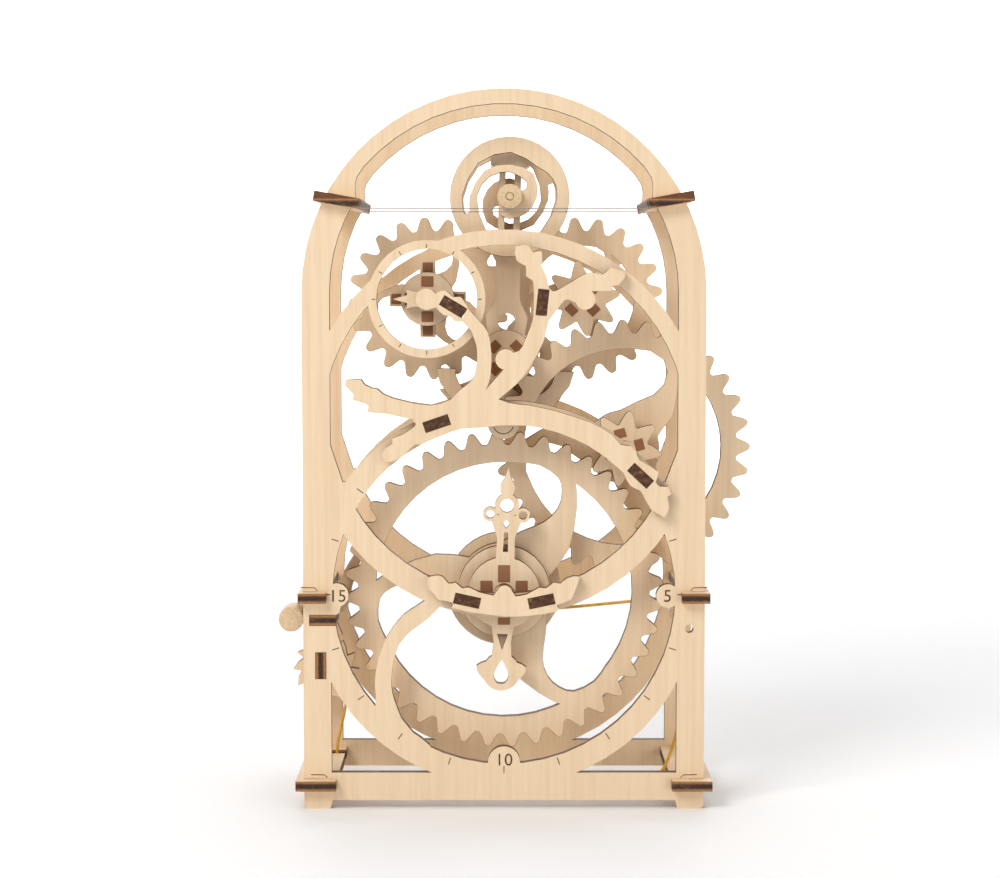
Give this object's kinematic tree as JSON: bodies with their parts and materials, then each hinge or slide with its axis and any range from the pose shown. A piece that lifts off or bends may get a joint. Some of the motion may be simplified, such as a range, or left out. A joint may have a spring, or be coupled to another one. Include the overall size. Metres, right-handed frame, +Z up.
{
  "type": "mechanical timer model",
  "caption": "Arched two-panel plywood timer with a wheel train, pendulum with sliding weight, pointer, stop lever and winding ratchet.",
  "frame": {"origin": "middle of the bounding box, at the level of the feet", "axes": "+X right seen from the dial side, +Y from the dial side to the back, +Z up"},
  "size_m": [0.1678, 0.072, 0.2523],
  "materials": {
    "plywood": "laser-cut birch plywood, unfinished",
    "burnt_tenon": "laser-browned edge of birch plywood",
    "dowel": "smooth turned beech",
    "band": "amber elastic band",
    "thread": "thin waxed thread"
  },
  "bodies": {
    "frame": {"front_panel": "plywood", "back_panel": "plywood", "tree_overlay": "plywood", "lower_bridge": "plywood", "tie_bottom_left": "plywood", "tie_bottom_right": "plywood", "tie_middle_left": "plywood", "tie_middle_right": "plywood", "tie_top_left": "plywood", "tie_top_right": "plywood", "thread_upper": "thread", "thread_lower": "thread", "overlay_key_1": "burnt_tenon", "overlay_key_2": "burnt_tenon", "overlay_key_3": "burnt_tenon", "overlay_key_4": "burnt_tenon", "bridge_key_1": "burnt_tenon", "bridge_key_2": "burnt_tenon", "lever_bracket": "burnt_tenon", "lever_pin": "dowel", "ratchet_bracket": "burnt_tenon", "pawl_pin": "dowel", "stop_tab": "plywood", "band_guide": "dowel", "rubber_band": "band"},
    "main_arbor": {"main_gear": "plywood", "hub_plate": "plywood", "drum_flange_front": "plywood", "winding_drum": "plywood", "drum_flange_rear": "plywood", "main_axle": "dowel", "pointer": "plywood"},
    "relay_arbor": {"relay_pinion": "plywood", "relay_gear": "plywood", "relay_axle": "dowel"},
    "upper_arbor": {"upper_pinion": "plywood", "upper_gear": "plywood", "upper_axle": "dowel"},
    "seconds_arbor": {"seconds_gear": "plywood", "seconds_cross": "plywood", "seconds_disc": "plywood", "seconds_hand": "plywood", "seconds_axle": "dowel"},
    "pendulum": {"pendulum_disc": "plywood", "pendulum_rod": "plywood", "anchor_plate": "plywood", "pendulum_rod_rear": "plywood", "pendulum_axle": "dowel", "pallet_plate": "plywood"},
    "weight": {"weight_knob_front": "dowel", "spiral_front": "plywood", "spiral_rear": "plywood", "weight_knob_rear": "dowel", "weight_axle": "dowel"},
    "lever": {"stop_lever": "plywood", "lever_knob": "dowel"},
    "ratchet": {"ratchet_wheel": "plywood", "ratchet_shaft": "dowel", "winding_key": "plywood"},
    "pawl": {"pawl": "plywood"}
  },
  "joints": [
    {"name": "seconds_spin", "type": "hinge", "parent": "frame", "child": "seconds_arbor", "pos_m": [-0.03124, 0, 0.17956], "axis": [0, 1, 0], "range_deg": [-7020, 0]},
    {"name": "main_spin", "type": "hinge", "parent": "frame", "child": "main_arbor", "pos_m": [-0.00432, 0, 0.0761], "axis": [0, 1, 0], "range_deg": [0, 351]},
    {"name": "relay_spin", "type": "hinge", "parent": "frame", "child": "relay_arbor", "pos_m": [0.03828, 0, 0.12651], "axis": [0, 1, 0], "range_deg": [-1755, 0]},
    {"name": "upper_spin", "type": "hinge", "parent": "frame", "child": "upper_arbor", "pos_m": [0.02376, 0, 0.17956], "axis": [0, 1, 0], "range_deg": [0, 7020]},
    {"name": "pendulum_swing", "type": "hinge", "parent": "frame", "child": "pendulum", "pos_m": [-0.00374, 0, 0.15876], "axis": [0, 1, 0], "range_deg": [-6, 6], "stiffness_Nm_per_rad": 0.03},
    {"name": "weight_height", "type": "slide", "parent": "pendulum", "child": "weight", "axis": [0.0253, 0, 0.9997], "range_m": [-0.012, 0.008]},
    {"name": "stop_lever_turn", "type": "hinge", "parent": "frame", "child": "lever", "pos_m": [-0.06482, 0, 0.0716], "axis": [0, 1, 0], "range_deg": [-8, 6]},
    {"name": "winding_turn", "type": "hinge", "parent": "frame", "child": "ratchet", "pos_m": [-0.06997, 0, 0.0427], "axis": [0, 1, 0], "range_deg": [0, 1080]},
    {"name": "pawl_lift", "type": "hinge", "parent": "frame", "child": "pawl", "pos_m": [-0.06993, 0, 0.064], "axis": [0, 1, 0], "range_deg": [-12, 0]}
  ],
  "couplings": [
    {"joint": "main_spin", "follows": "seconds_spin", "ratio": -0.05},
    {"joint": "relay_spin", "follows": "seconds_spin", "ratio": 0.25},
    {"joint": "upper_spin", "follows": "seconds_spin", "ratio": -1}
  ]
}
